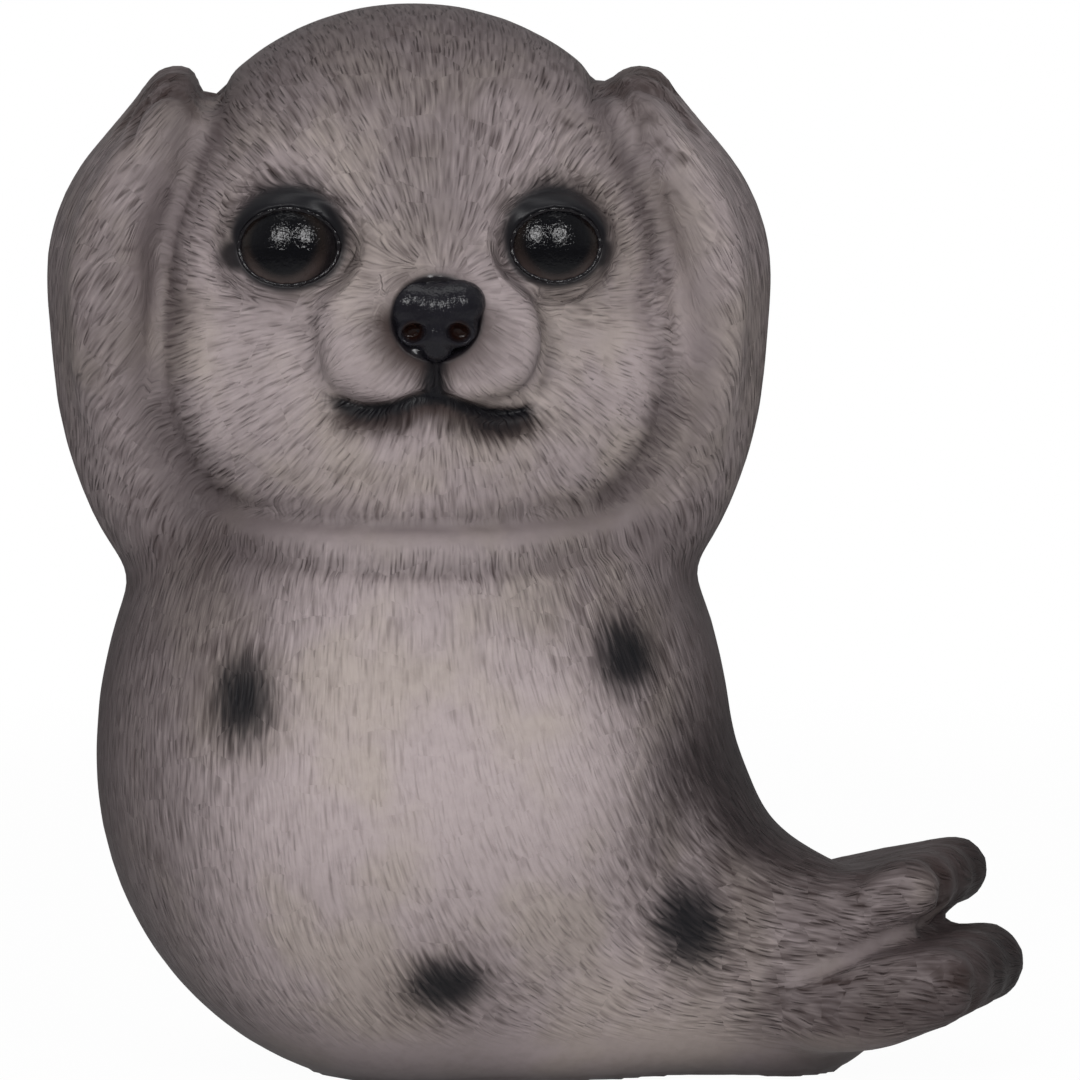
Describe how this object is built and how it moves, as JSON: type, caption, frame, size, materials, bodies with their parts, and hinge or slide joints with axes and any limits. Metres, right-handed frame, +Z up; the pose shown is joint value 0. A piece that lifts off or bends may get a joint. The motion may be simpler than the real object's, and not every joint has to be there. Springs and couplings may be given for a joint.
{
  "type": "seal figurine",
  "caption": "Small free-standing seal pup figurine, cast in one piece, sitting up with its fore flippers held over its ears.",
  "frame": {"origin": "on the flat base, below the middle of the bounding box", "axes": "+Z up; the face looks along -Y; +X is the viewer's right, the side that the hind flippers point to"},
  "size_m": [0.0778, 0.0466, 0.085],
  "materials": {
    "painted_resin": "matt airbrushed paint, with gloss varnish on the eyes and the nose"
  },
  "bodies": {
    "root": {"seal_figurine": "painted_resin"}
  },
  "joints": []
}
